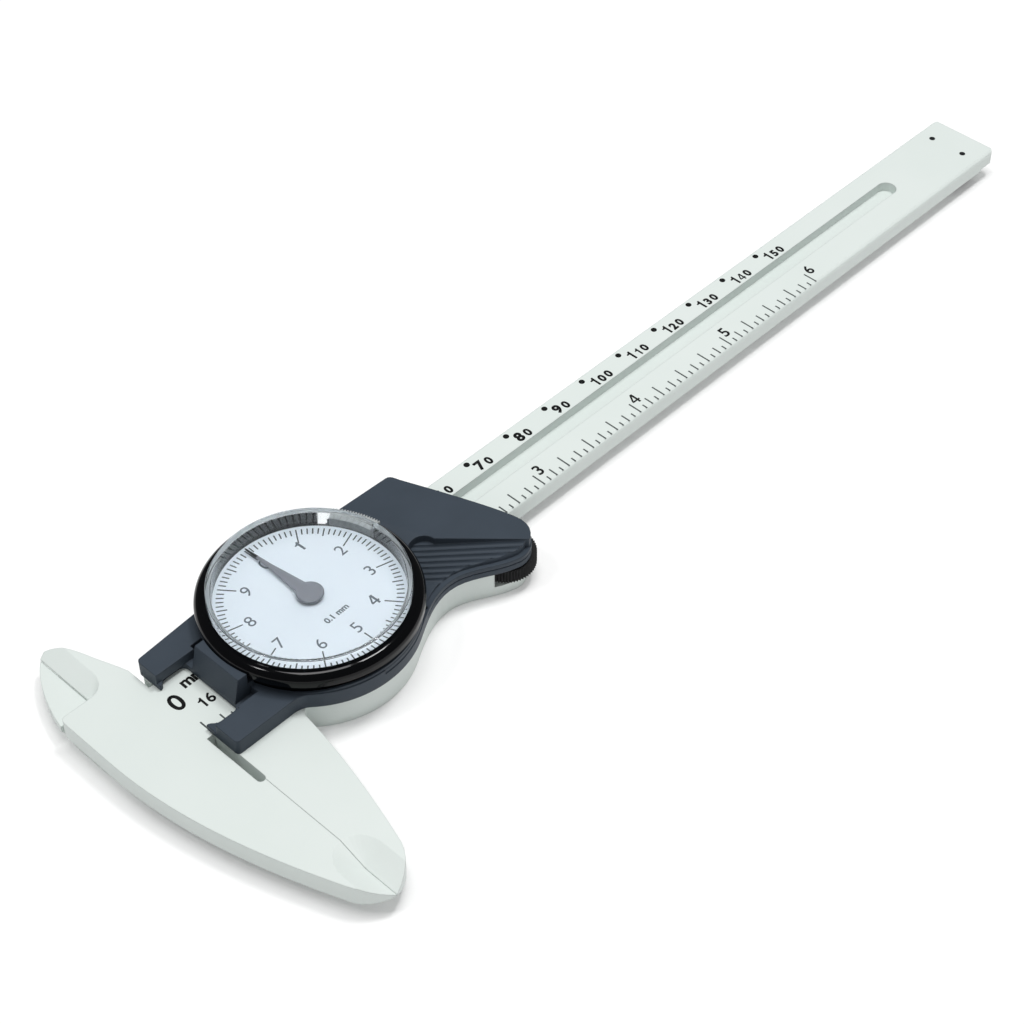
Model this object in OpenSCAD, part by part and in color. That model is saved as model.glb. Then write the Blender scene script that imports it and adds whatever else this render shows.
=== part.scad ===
// Dial caliper of fibre-reinforced plastic, reading to 0.1 mm, lying on its back with the jaws closed.
// X runs along the beam from the jaws' contact plane to the tail, Y points to the short inside jaws,
// and Z goes up from the surface that the slider's back rests on.

/* [Beam] */
// Distance that the slider can open
travel = 150; // [100:1:250]
// Width of the beam
beam_w = 15; // [14.8:0.1:15.2]
// Thickness of the beam and of the jaws
beam_t = 3.8; // [3.6:0.1:4.4]
// Bevel along the beam's edges
beam_bevel = 0.5; // [0.2:0.1:0.7]
// Length of the stop plate under the tail
stop_l = 6.7; // [6.2:0.1:8]
// Length of the thinner end of the tail
tail_step_l = 3.9; // [1:0.1:4.5]
// Depth of the step under the tail
tail_step_d = 0.9; // [0.2:0.1:1.2]

/* [Grooves and rack] */
// Width of the groove in the front of the beam
groove_w = 3.9; // [3.8:0.1:4.4]
// Depth of the front groove
groove_d = 2; // [1.9:0.1:2.1]
// Groove centre line above the beam's centre line
groove_y = 0.65; // [0.5:0.05:0.8]
// Distance that the slider moves for one turn of the pointer
turn = 10; // [10:10:10]
// Teeth on the pinion
pinion_teeth = 10; // [10:1:10]
// Width of the depth rod
rod_w = 2.2; // [1.8:0.1:2.4]
// Thickness of the depth rod
rod_t = 1.3; // [1:0.1:1.4]
// Centre line of the depth rod above the beam's centre line
rod_y = 0.3; // [0.2:0.05:0.4]

/* [Jaws] */
// Reach of the long jaws from the beam's edge to their tips
jaw_reach = 41.4; // [36:0.1:55]
// Width of the fixed jaw beside the beam
fixed_jaw_w = 14.65; // [13.5:0.05:18]
// Width of the moving jaw where it leaves the slider
moving_jaw_w = 12.6; // [11.6:0.1:12.8]
// Reach of the short inside jaws from the beam's edge
short_reach = 18.3; // [15:0.1:24]
// Distance from the contact plane to the short jaws' measuring edges
short_edge_x = 8.35; // [8:0.05:9]
// Depth of the scoop that thins the jaw tips from the front
scoop_d = 2; // [1.6:0.1:2.2]
// Thickness of the measuring edge at the long tips
edge_t = 0.3; // [0.2:0.05:0.6]
// Width of the relief slot between the jaws
relief_w = 1.5; // [1.2:0.1:1.8]

/* [Slider] */
// Thickness of the slider's back under the beam
back_t = 2.1; // [1.8:0.1:2.6]
// Half width of the slider at its straight front part, on the long jaws' side
front_low = 13.6; // [13.2:0.1:14]
// Half width of the slider's front part, on the short jaws' side
front_high = 11.6; // [11.4:0.1:11.8]
// Radius of the housing round the dial
lobe_r = 18.5; // [18.4:0.1:18.8]
// Distance that the white body stands in from the cover's edge
body_inset = 0.8; // [0.5:0.1:1]
// Length of the back plate under the beam
back_l = 50.2; // [47:0.1:50.6]
// Radius of the thumb wheel
wheel_r = 5.3; // [5:0.1:5.5]
// Thickness of the thumb wheel
wheel_t = 2.8; // [2.2:0.1:3]
// Distance from the contact plane to the thumb wheel's axle
wheel_x = 60.8; // [60.4:0.1:61]
// Ridges round the thumb wheel
wheel_teeth = 60; // [30:2:72]

/* [Cover] */
// Height of the cover's front prongs above the beam
prong_h = 3.1; // [2.9:0.1:3.1]
// Height of the ledge that runs round under the thumb grip
ledge_h = 2.2; // [1.8:0.1:2.4]
// Height of the floor between the prongs above the beam
bar_h = 1.2; // [1:0.05:1.6]
// Height of the block before the bezel above the beam
block_h = 6.1; // [5:0.1:6.2]
// Width of the block before the bezel
block_w = 10.4; // [8:0.1:11]
// Height of the thumb grip above the beam
grip_h = 4.2; // [3.8:0.1:4.4]
// Ribs on the thumb grip
grip_ribs = 7; // [5:1:8]
// Distance between the ribs
rib_pitch = 1.25; // [1.1:0.05:1.4]
// Width of the scale window along the beam
window_w = 6; // [5:0.1:6.2]

/* [Dial] */
// Distance from the contact plane to the dial's centre
dial_x = 27.14; // [27:0.02:27.3]
// Distance of the dial's centre from the beam's centre line
dial_y = -1.15; // [-1.3:0.05:-1]
// Radius of the dial
dial_r = 16; // [15.6:0.1:16]
// Turn of the dial and its crystal from the beam's direction, set when the caliper was zeroed
dial_turn = 2.7; // [0:0.1:3]
// Height of the dial's face above the beam
dial_h = 4.7; // [4.7:0.1:5.4]
// Height of the black bezel's top above the beam
bezel_h = 7.5; // [7.3:0.1:7.7]
// Height of the bezel's overhanging lower edge above the beam
skirt_h = 5; // [4.8:0.1:5.4]
// Height of the collar under the bezel above the beam
collar_h = 3.7; // [3.5:0.1:3.9]
// Height of the crystal's top above the beam
crystal_h = 9.3; // [9.1:0.1:9.6]
// Thickness of the crystal's window
crystal_t = 1.5; // [1.2:0.1:1.6]
// Length of the pointer from its centre to its tip
pointer_l = 15.2; // [12:0.1:15.4]
// Radius of the pointer's hub
hub_r = 2.3; // [1.8:0.05:2.6]

/* [Fits] */
// Gap between the closed jaws
jaw_gap = 0.05; // [0.02:0.01:0.1]
// Gap between the beam and the slider all round
slide_fit = 0.1; // [0.06:0.01:0.12]
// Radial gap of a shaft in its bearing
shaft_fit = 0.04; // [0.02:0.01:0.06]
// Gap between parts that lie on each other without being joined
seat_fit = 0.05; // [0.02:0.01:0.08]
// Gap between parts that pass each other without touching
pass_fit = 0.3; // [0.2:0.05:0.35]

/* [Hidden] */
$fn = 96;
eps = 0.01;

// Heights of the layers
beam_z0 = back_t + slide_fit;
beam_z1 = beam_z0 + beam_t;
deck_z = beam_z1 + prong_h;
ledge_z = beam_z1 + ledge_h;
bar_z = beam_z1 + bar_h;
block_z = beam_z1 + block_h;
grip_z = beam_z1 + grip_h;
dial_z = beam_z1 + dial_h;
bezel_z = beam_z1 + bezel_h;
skirt_z = beam_z1 + skirt_h;
collar_z = beam_z1 + collar_h;
crystal_z = beam_z1 + crystal_h;
mid_z = beam_z1 - scoop_d;

// Plan of the beam and jaws
half_w = beam_w / 2;
stop_x0 = back_l + travel + pass_fit;
stop_x1 = stop_x0 + stop_l;
tail_x = stop_x1 + 0.1 + tail_step_l;
tip_y = -(half_w + jaw_reach);
short_tip_y = half_w + short_reach;
root_y = half_w + 4.7;
prong_y = half_w - 1.6;
neck_x = 0.75;
relief_l = 11.8;
relief_x = 0.35;
scoop_w = 4.2;
scoop_y = tip_y + 7.2;
scoop_run = 5;
short_scoop_w = 3.4;
arm_x = -fixed_jaw_w + 0.75;
blade_t = 1.25;
wheel_y = -(half_w + wheel_r + seat_fit);
axle_r = 0.8;
tooth_d = 0.35;

// Stop plate and its pins, which stand on both sides of the depth rod
stop_w = 12.4;
stop_t = 1.3;
pin_r = 0.6;
pin_x = stop_x0 + 5.1;
pin_ys = [rod_y + 3.75, rod_y - 3.8];

// Gear train
rack_pitch = turn / pinion_teeth;
rack_m = rack_pitch / PI;
backlash = 0.02;
rack_add = 0.6 * rack_m;
rack_ded = 1.1 * rack_m;
groove_z = beam_z1 - groove_d;
groove_y0 = groove_y - groove_w / 2;
rack_tip_y = groove_y0 - 0.05;
rack_line_y = rack_tip_y - rack_add;
rack_root_y = rack_line_y - rack_ded;
rack_back_y = rack_root_y - 1.1;
rack_t = 1.3;
rack_z = groove_z + 0.15;
wheel_m = 0.25;
train_teeth = 20;
idler_teeth = 12;
train_d = wheel_m * (train_teeth + idler_teeth) / 2;
pinion_y = rack_line_y + rack_m * pinion_teeth / 2;
pinion_x = dial_x + sqrt(pow(2 * train_d, 2) - pow(pinion_y - dial_y, 2));
idler_x = (pinion_x + dial_x) / 2;
idler_y = (pinion_y + dial_y) / 2;
train_angle = atan2(dial_y - pinion_y, dial_x - pinion_x);
groove_x0 = pinion_x - 4;
groove_x1 = pinion_x + travel + 2.4;
pocket_x1 = groove_x1 - 0.3;
floor_z = beam_z1 + 1.3;
pivot_z = floor_z - 0.8;
gear_z = floor_z + 0.2;
gear_t = 0.8;
bridge_z = gear_z + gear_t + 0.25;
bridge_t = 0.7;
shaft_r = 0.5;
pinion_hub_r = 0.9;
pointer_t = 0.3;
hub_t = 0.5;
pointer_z = dial_z + 0.6;
dial_t = 0.6;

// Dial housing
bezel_r = dial_r + 2.9;
well_r = dial_r - 2.4;
ring_r = dial_r - 1.2;
post_r = well_r - 2;
post_angles = [70, 180, 290];
flange_r = dial_r + 1.2;
neck_r = flange_r + 0.6;
flange_z = deck_z + 0.2;
flange_t = 0.9;
crystal_r = dial_r + 0.8;
tab_r = bezel_r + 0.2;
tab_from = 9.5;
tab_to = 42;
tab_ridges = 22;
block_x = window_w - 0.1;
block_lean = 1.15;

// Thumb grip, whose ridge between its smooth and its ribbed face runs from the nose to the bezel
nose = [wheel_x + 1.4, -17.1];
ridge_end = [wheel_x - 9.6, -5.4];
ridge_a = atan2(ridge_end[1] - nose[1], ridge_end[0] - nose[0]);
ridge_dir = [cos(ridge_a), sin(ridge_a)];
smooth_dir = [sin(ridge_a), -cos(ridge_a)];
smooth_fall = 3;
rib_fall = 4.3;
rib_lean = 1.5;
rib_drop = 0.15;
rib_r = 0.57;
rib_sink = 0.5;
scallop_r = 2.6;
grip_inset = 0.9;
facet_fall = 7;
grip_gap_r = bezel_r + 0.9;

gib_x = 8;
gib_l = back_l - 12.2;
screw_places = [[4, -10.4], [5.6, 9.2], [wheel_x - 9.3, 9.2], [wheel_x - 12.8, -9.9]];
screw_r = 0.7;
screw_head_r = 1.2;

// Cubic curve through its first and last point
function bez(a, b, c, d, n = 12) = [for (i = [0:n]) let (t = i / n)
    pow(1 - t, 3) * a + 3 * pow(1 - t, 2) * t * b + 3 * (1 - t) * t * t * c + t * t * t * d];

// Arc round c with radius r
function arc(c, r, a0, a1, n = 12) = [for (i = [0:n]) let (a = a0 + (a1 - a0) * i / n)
    c + r * [cos(a), sin(a)]];

// Half of a gear tooth's angle at the radius rho, for involute flanks of 20 degrees on the pitch radius r
function inv(a) = tan(a) - a * PI / 180;
function flank(rho, r, n) = 180 / PI * (PI / (2 * n) * 0.93 + inv(20) - inv(acos(min(1, r * cos(20) / rho))));
function gear_points(n, m) = let (r = n * m / 2, radii = [r - 1.1 * m, r * cos(20), r, r + 0.4 * m, r + 0.75 * m])
    [for (k = [0:n - 1]) each concat(
        [for (rho = radii) let (a = k * 360 / n - flank(rho, r, n)) rho * [cos(a), sin(a)]],
        [for (i = [4:-1:0]) let (rho = radii[i], a = k * 360 / n + flank(rho, r, n)) rho * [cos(a), sin(a)]])];

module gear(n, m, t, phase) {
    rotate(phase) linear_extrude(t) polygon(gear_points(n, m));
}

// Bar along X with the outline pts drawn in Y and Z
module bar(x0, x1, pts) {
    translate([x0, 0, 0]) rotate([90, 0, 90]) linear_extrude(x1 - x0) polygon(pts);
}

// Fixed jaw seen from the front, with the short jaw's root
module fixed_jaw_plan() {
    w = fixed_jaw_w;
    polygon(concat(
        [[0, -half_w + 1], [0, tip_y]],
        bez([0, tip_y], [-w * 0.17, tip_y * 0.977], [-w * 0.29, tip_y * 0.93], [-w * 0.34, tip_y * 0.891], 6),
        bez([-w * 0.34, tip_y * 0.891], [-w * 0.717, tip_y * 0.607], [-w, tip_y * 0.309], [-w, 0], 16),
        bez([-w, root_y - 1.2], [-w, root_y - 0.4], [-w + 0.3, root_y], [-w + 0.9, root_y], 5),
        [[-neck_x, root_y], [-neck_x, half_w - 1], [0, half_w - 1]]));
}

// Fixed inside jaw past the short jaw's root
module fixed_blade_plan() {
    r = root_y;
    t = short_tip_y - root_y;
    e = short_edge_x;
    polygon(concat(
        [[-e, r - 1], [-neck_x, r - 1]],
        bez([-neck_x, r], [-1.3, r + t * 0.16], [-2.6, r + t * 0.38], [-3.3, r + t * 0.56], 6),
        bez([-3.3, r + t * 0.56], [-4, r + t * 0.72], [-5.2, r + t * 0.94], [-7.2, r + t * 1.03], 8),
        [[-e, r + t]]));
}

// Moving inside jaw, which lies left of its measuring edge while the caliper is closed
module moving_blade_plan() {
    r = root_y + pass_fit;
    t = short_tip_y - r;
    e = short_edge_x;
    w = fixed_jaw_w;
    polygon(concat([[-e, r]], bez([-e, r + t], [-e * 1.38, r + t * 0.78], [-w + 0.9, r + t * 0.34], [-w, r], 12)));
}

// Arch with its foot at the scoop's straight part
module scoop_plan() {
    polygon(concat([for (a = [0:12:180]) [scoop_w * cos(a), scoop_y + scoop_run * sin(a)]],
        [[-scoop_w, tip_y - 2], [scoop_w, tip_y - 2]]));
}

// Hollows that thin both long tips from the front and from the back to a thin edge
module tip_scoops() {
    valley = [2 * eps, scoop_y - tip_y + 1.5, eps];
    hull() {
        translate([0, 0, beam_z1 + eps]) linear_extrude(1) scoop_plan();
        translate([-eps, tip_y - 2, mid_z]) cube(valley);
    }
    hull() {
        translate([0, 0, beam_z0 - 1 - eps]) linear_extrude(1) scoop_plan();
        translate([-eps, tip_y - 2, mid_z - edge_t - eps]) cube(valley);
    }
}

// Hollow on the fixed inside jaw, down to its measuring edge
module short_scoop() {
    translate([-short_edge_x, 0, 0]) hull() {
        translate([0, 0, beam_z1 + eps]) linear_extrude(1) polygon(concat(
            [for (a = [0:15:90]) [short_scoop_w * sin(a), root_y + 3.8 - 3.8 * cos(a)]],
            [[short_scoop_w, short_tip_y + 2], [0, short_tip_y + 2]]));
        translate([-1, root_y + 0.5, mid_z + edge_t]) cube([1, short_tip_y - root_y + 1.5, eps]);
    }
}

// Relief slot between the jaws' roots, cut partly from each jaw
module relief_slot() {
    translate([relief_x - relief_w, -half_w - relief_l, beam_z0 - 1]) cube([relief_w, relief_l, beam_t + 2]);
    translate([relief_x - relief_w / 2, -half_w - relief_l, beam_z0 - 1]) cylinder(r = relief_w / 2, h = beam_t + 2);
}

module beam_with_fixed_jaws() {
    b = beam_bevel;
    groove_l = groove_x1 - groove_x0 - groove_w / 2;
    color("whitesmoke") difference() {
        union() {
            bar(-1, tail_x, [[half_w, beam_z0 + b], [half_w, beam_z1 - b], [half_w - b, beam_z1],
                [-half_w + 1.2 * b, beam_z1], [-half_w + 0.3 * b, beam_z1 - 0.5 * b], [-half_w, beam_z1 - 1.6 * b],
                [-half_w, beam_z0 + b], [-half_w + b, beam_z0], [half_w - b, beam_z0]]);
            translate([0, 0, beam_z0]) linear_extrude(beam_t) fixed_jaw_plan();
            translate([0, 0, mid_z]) linear_extrude(scoop_d) fixed_blade_plan();
        }
        tip_scoops();
        short_scoop();
        // Relief slot beside the moving jaw
        relief_slot();
        // Front groove with a round end, and the pocket under its lip that holds the rack
        translate([groove_x0, groove_y0, groove_z]) cube([groove_l, groove_w, groove_d + 1]);
        translate([groove_x1 - groove_w / 2, groove_y, groove_z]) cylinder(r = groove_w / 2, h = groove_d + 1);
        translate([groove_x0, rack_back_y, rack_z]) cube([pocket_x1 - groove_x0, groove_y - rack_back_y, rack_t]);
        // Groove in the back for the depth rod
        translate([back_l - 8, rod_y - rod_w / 2 - shaft_fit, beam_z0 - 1])
            cube([tail_x, rod_w + 2 * shaft_fit, 1 + rod_t + 2 * shaft_fit]);
        for (y = pin_ys) translate([pin_x, y, beam_z0 - 1]) cylinder(r = pin_r, h = beam_t + 2);
        // Step and cut corners at the tail
        translate([tail_x - tail_step_l, -half_w - 1, beam_z0 - 1]) cube([tail_step_l + 1, beam_w + 2, 1 + tail_step_d]);
        for (s = [-1, 1]) translate([tail_x, s * half_w, beam_z0]) rotate(45)
            cube([1.1, 1.1, 3 * beam_t], center = true);
    }
}

module rack_strip() {
    first = pinion_x - 3 * rack_pitch;
    teeth = floor((pocket_x1 - first) / rack_pitch - 0.3);
    root_half = rack_pitch / 4 - rack_ded * tan(20) + backlash;
    tip_half = rack_pitch / 4 - rack_add * tan(20) - backlash;
    last = first + teeth * rack_pitch;
    color("silver") translate([0, 0, rack_z]) linear_extrude(rack_t) polygon(concat(
        [[first, rack_back_y], [first, rack_root_y]],
        [for (k = [0:teeth - 1]) let (x = first + k * rack_pitch) each [
            [x + root_half, rack_root_y],
            [x + rack_pitch / 2 - tip_half, rack_tip_y],
            [x + rack_pitch / 2 + tip_half, rack_tip_y],
            [x + rack_pitch - root_half, rack_root_y]]],
        [[last, rack_root_y], [last, rack_back_y]]));
}

module end_stop_plate() {
    color("dimgray") difference() {
        translate([stop_x0, -stop_w / 2, beam_z0 - stop_t]) cube([stop_x1 - stop_x0, stop_w, stop_t]);
        for (y = pin_ys) translate([pin_x, y, 0]) cylinder(r = pin_r, h = beam_z1);
    }
}

module stop_pins() {
    color("dimgray") for (y = pin_ys) translate([pin_x, y, beam_z0 - stop_t]) cylinder(r = pin_r, h = stop_t + beam_t);
}

// Slider outline, drawn e inside the cover's edge, with its front face at x0
function slider_outline(e, x0) = let (
    c = [dial_x, dial_y], r = lobe_r - e, low = -front_low + e, high = front_high - e, k = 0.7,
    f = 4 + e, fc = [dial_x - sqrt(pow(r + f, 2) - pow(dial_y - low + f, 2)), low - f],
    fa = atan2(dial_y - fc[1], dial_x - fc[0]),
    h = 3 + e, hc = [dial_x - sqrt(pow(r + h, 2) - pow(high + h - dial_y, 2)), high + h],
    ha = atan2(dial_y - hc[1], dial_x - hc[0]),
    g = 2, gc = [dial_x + sqrt(pow(r + g, 2) - pow(high + g - dial_y, 2)), high + g],
    ga = atan2(dial_y - gc[1], dial_x - gc[0]),
    s = c + r * [cos(-59.6), sin(-59.6)], tip = [wheel_x + 4.1 - e, -12.9], back_x = wheel_x - 3.15)
    concat(
        arc([x0 + k, low + k], k, 180, 270, 4),
        arc(fc, f, 90, fa, 6),
        arc(c, r, 180 + fa, 300.4, 24),
        bez(s, s + [3.45, 2.02], [wheel_x - 17.3, low + 0.7], [wheel_x - 13.5, low + 0.65], 8),
        bez([wheel_x - 13.5, low + 0.65], [wheel_x - 9.3, low + 0.65], [wheel_x - 6.3, -16.2 + e], [wheel_x - 2.3, -17.4 + e], 8),
        bez([wheel_x - 2.3, -17.4 + e], [wheel_x + 0.4, -18.6 + e], [tip[0], -16.6 + e], tip, 8),
        bez(tip, tip + [0, 2.9], [back_x + 3.6 - e, 0], [back_x - e, high - 2], 10),
        bez([back_x - e, high - 2], [back_x - 0.35 - e, high - 0.7], [back_x - 0.5 - e, high], [back_x - 1.5 - e, high], 5),
        arc(gc, g, 270, 360 + ga, 5),
        arc(c, r, ga + 180, ha + 180, 24),
        arc(hc, h, ha, -90, 5),
        arc([x0 + k, high - 0.9 - k], k, 90, 180, 4));

// Long moving jaw, drawn from inside the slider to its tip
module long_jaw_plan() {
    w = moving_jaw_w;
    y0 = -front_low + 1;
    polygon(concat(
        [[jaw_gap, y0], [jaw_gap, tip_y]],
        bez([jaw_gap, tip_y], [w * 0.2, tip_y * 0.987], [w * 0.413, tip_y * 0.946], [w * 0.492, tip_y * 0.891], 6),
        bez([w * 0.492, tip_y * 0.891], [w * 0.714, tip_y * 0.71], [w * 0.92, tip_y * 0.494], [w, tip_y * 0.329], 12),
        bez([w, tip_y * 0.329], [w + 0.1, -14.9], [w + 0.3, -14.6], [w + 1.4, y0 - 1.2], 4),
        [[w + 1.4, y0]]));
}

// Arm that passes under the fixed jaw and carries the moving inside jaw
module under_arm_plan() {
    x = arm_x;
    polygon(concat(
        [[1, -half_w], [1, root_y - 1.2], [-short_edge_x, root_y - 1.2], [-short_edge_x, root_y + 3]],
        bez([x + 0.7, root_y + 3], [x + 0.3, root_y + 1.4], [x, root_y - 0.5], [x, root_y - 3], 5),
        bez([x, 2.5], [x, -5], [-9, -half_w], [1, -half_w], 8)));
}

module moving_jaw_body() {
    head_z = 1.05;
    color("whitesmoke") difference() {
        union() {
            linear_extrude(beam_z1) polygon(slider_outline(body_inset, jaw_gap));
            translate([0, 0, beam_z0]) linear_extrude(beam_t) long_jaw_plan();
            linear_extrude(back_t) under_arm_plan();
            hull() {
                translate([0, 0, mid_z - 0.1 - blade_t]) linear_extrude(blade_t) moving_blade_plan();
                translate([arm_x + 0.8, root_y + pass_fit, 0.6]) cube([-short_edge_x - arm_x - 0.8, 3, 1]);
            }
        }
        tip_scoops();
        relief_slot();
        // Gap under the cover beside the thumb wheel
        translate([wheel_x - 11.3, -front_low - 12, beam_z1 - 0.4]) cube([12, 12.6, 1]);
        // Channel for the beam
        translate([-1, -half_w - slide_fit, back_t]) cube([80, beam_w + 2 * slide_fit, beam_t + 2]);
        // The back plate ends short of the stop plate
        translate([back_l, -half_w - slide_fit, -1]) cube([20, beam_w + 2 * slide_fit, back_t + 2]);
        // Pocket for the gib strip
        translate([gib_x, half_w, back_t + 0.2]) cube([gib_l, 0.95, beam_t + 1]);
        // Pocket of the thumb wheel, open to the beam and to the outside
        translate([wheel_x, wheel_y, back_t]) cylinder(r = wheel_r + pass_fit, h = beam_t + 1);
        translate([wheel_x - wheel_r, wheel_y - 12, back_t]) cube([14, 12, beam_t + 1]);
        translate([wheel_x, wheel_y, 0.5]) cylinder(r = axle_r, h = 4);
        for (p = screw_places) translate([p[0], p[1], -1]) {
            cylinder(r = screw_r, h = 10);
            cylinder(r = screw_head_r + 0.05, h = 1 + head_z);
        }
        translate([back_l - 5, rod_y, 0.5]) cylinder(r = pin_r, h = 4);
    }
}

module cover_screws() {
    color("dimgray") for (p = screw_places) translate([p[0], p[1], 0.1]) {
        cylinder(r = screw_head_r, h = 0.95);
        cylinder(r = screw_r, h = beam_z1 + 0.9);
    }
}

module gib_strip() {
    z = back_t + 0.2 + seat_fit;
    color("goldenrod") translate([gib_x + pass_fit, half_w + seat_fit, z])
        cube([gib_l - 2 * pass_fit, 0.8, beam_z1 - 0.1 - z]);
}

module depth_rod() {
    color("silver") difference() {
        translate([back_l - 7, rod_y - rod_w / 2, beam_z0 + shaft_fit]) cube([tail_x - back_l + 7, rod_w, rod_t]);
        translate([back_l - 5, rod_y, 0]) cylinder(r = pin_r, h = beam_z1);
    }
}

module depth_rod_pin() {
    color("dimgray") translate([back_l - 5, rod_y, 0.5]) cylinder(r = pin_r, h = beam_z0 + rod_t - 0.5);
}

module thumb_wheel_axle() {
    color("silver") translate([wheel_x, wheel_y, 0.5]) cylinder(r = axle_r, h = beam_z1 + 1.5);
}

module thumb_wheel() {
    n = wheel_teeth;
    color("#141416") translate([wheel_x, wheel_y, beam_z1 - 0.35 - wheel_t]) difference() {
        linear_extrude(wheel_t) polygon([for (k = [0:n - 1]) each [
            wheel_r * [cos(360 / n * k), sin(360 / n * k)],
            (wheel_r - tooth_d) * [cos(360 / n * (k + 0.5)), sin(360 / n * (k + 0.5))]]]);
        translate([0, 0, -1]) cylinder(r = axle_r + shaft_fit, h = wheel_t + 2);
    }
}

// Window over the scale, with the small hooks that close its mouth
module window_plan() {
    top = half_w - 1;
    low = -half_w + 0.3;
    w = window_w;
    polygon(concat(
        [[-1, low + 1.15], [0.35, low + 1]],
        bez([0.35, low + 1], [1, low + 0.9], [1.2, low], [2.2, low], 5),
        arc([w - 1.2, low + 1.2], 1.2, 270, 360, 5),
        arc([w - 1.2, top - 1.2], 1.2, 0, 90, 5),
        bez([2.2, top], [1.2, top], [1, top - 1.3], [0.4, top - 1.35], 5),
        [[-1, top - 1.1]]));
}

// Plan of the sunk, ribbed face with its scalloped end beside the bezel
module ribbed_plan() {
    polygon(concat([nose - 5 * ridge_dir, ridge_end], arc(ridge_end - [scallop_r, 0], scallop_r, 0, 180, 12),
        [[38, -16], [44, -32], [66, -32]]));
}

// Everything above the ribbed face
module ribbed_sink() {
    intersection() {
        translate([0, 0, ledge_z]) linear_extrude(10) ribbed_plan();
        translate([nose[0], nose[1], grip_z - rib_drop]) rotate([-rib_lean, rib_fall, ridge_a]) {
            translate([-10, -10, 0]) cube([50, 50, 10]);
            for (k = [0:grip_ribs - 1]) translate([-10, rib_r + 0.1 + k * rib_pitch, rib_r - rib_sink])
                rotate([0, 90, 0]) cylinder(r = rib_r, h = 50, $fn = 32);
        }
    }
}

// Grip and housing above the ledge, which is set in on the ribbed side only
module upper_plan() {
    smooth = [nose - 5 * ridge_dir, nose + 40 * ridge_dir];
    translate([dial_x, dial_y]) circle(r = lobe_r - 0.1);
    intersection() {
        polygon(slider_outline(grip_inset, 0));
        translate([dial_x, -30]) square([40, 60]);
    }
    intersection() {
        polygon(slider_outline(0.2, 0));
        polygon([smooth[0], smooth[1], smooth[1] + 60 * smooth_dir, smooth[0] + 60 * smooth_dir]);
    }
}

// Block between the prongs that stands before the bezel
module bezel_block() {
    translate([0, dial_y + block_w / 2, 0]) rotate([90, 0, 0]) linear_extrude(block_w) polygon([
        [block_x, bar_z - eps], [block_x + block_lean, block_z], [block_x + 6, block_z], [block_x + 6, bar_z - eps]]);
}

// Collar that rises from the prong's deck round the underside of the bezel
module collar() {
    r = lobe_r - 0.15;
    intersection() {
        translate([dial_x, dial_y, deck_z - eps]) linear_extrude(collar_z - deck_z + eps) difference() {
            polygon(concat(arc([0, 0], r, -150, -47, 40), [[0, 0]]));
            circle(r = neck_r + 0.1);
        }
        rotate([90, 0, 0]) linear_extrude(40) polygon([[dial_x - 15, deck_z - 1],
            [dial_x - 15, deck_z], [dial_x - 7.7, collar_z + eps], [dial_x + 20, collar_z + eps], [dial_x + 20, deck_z - 1]]);
    }
}

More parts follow.
